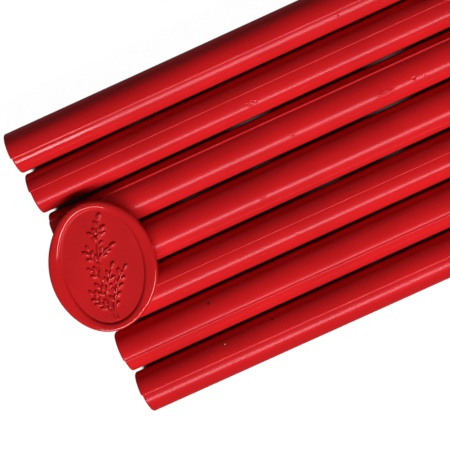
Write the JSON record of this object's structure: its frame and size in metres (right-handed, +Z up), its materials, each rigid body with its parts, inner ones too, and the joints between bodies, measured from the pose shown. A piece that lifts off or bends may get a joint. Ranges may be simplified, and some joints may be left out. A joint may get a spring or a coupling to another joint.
{
  "type": "sealing wax stick set",
  "caption": "Round moulded red sealing wax sticks for a glue gun, lying side by side, with a finished oval wax seal stamped with a leafy sprig laid across their ends.",
  "frame": {"origin": "bottom centre of the whole set's bounding box, on the surface the sticks lie on", "axes": "+X along the sticks, away from the ends that the seal lies on; +Y across the row; +Z up"},
  "size_m": [0.1436, 0.0794, 0.014],
  "materials": {
    "stick_wax": "opaque red sealing wax, moulded, semi-gloss",
    "seal_wax": "opaque red sealing wax, glossy rim and satin stamped floor"
  },
  "bodies": {
    "middle_stick": {"wax_stick_4": "stick_wax"},
    "stick_1": {"wax_stick_1": "stick_wax"},
    "stick_2": {"wax_stick_2": "stick_wax"},
    "stick_3": {"wax_stick_3": "stick_wax"},
    "stick_5": {"wax_stick_5": "stick_wax"},
    "stick_6": {"wax_stick_6": "stick_wax"},
    "stick_7": {"wax_stick_7": "stick_wax"},
    "seal": {"wax_seal": "seal_wax"}
  },
  "joints": [
    {"name": "stick_1_draw", "type": "slide", "parent": "middle_stick", "child": "stick_1", "axis": [-1, 0, 0], "range_m": [0, 0.145]},
    {"name": "stick_2_draw", "type": "slide", "parent": "middle_stick", "child": "stick_2", "axis": [-1, 0, 0], "range_m": [0, 0.145]},
    {"name": "stick_3_draw", "type": "slide", "parent": "middle_stick", "child": "stick_3", "axis": [-1, 0, 0], "range_m": [0, 0.145]},
    {"name": "stick_5_draw", "type": "slide", "parent": "middle_stick", "child": "stick_5", "axis": [-1, 0, 0], "range_m": [0, 0.145]},
    {"name": "stick_6_draw", "type": "slide", "parent": "middle_stick", "child": "stick_6", "axis": [-1, 0, 0], "range_m": [0, 0.145]},
    {"name": "stick_7_draw", "type": "slide", "parent": "middle_stick", "child": "stick_7", "axis": [-1, 0, 0], "range_m": [0, 0.145]},
    {"name": "seal_lift", "type": "slide", "parent": "middle_stick", "child": "seal", "axis": [0, 0, 1], "range_m": [0, 0.04]}
  ]
}
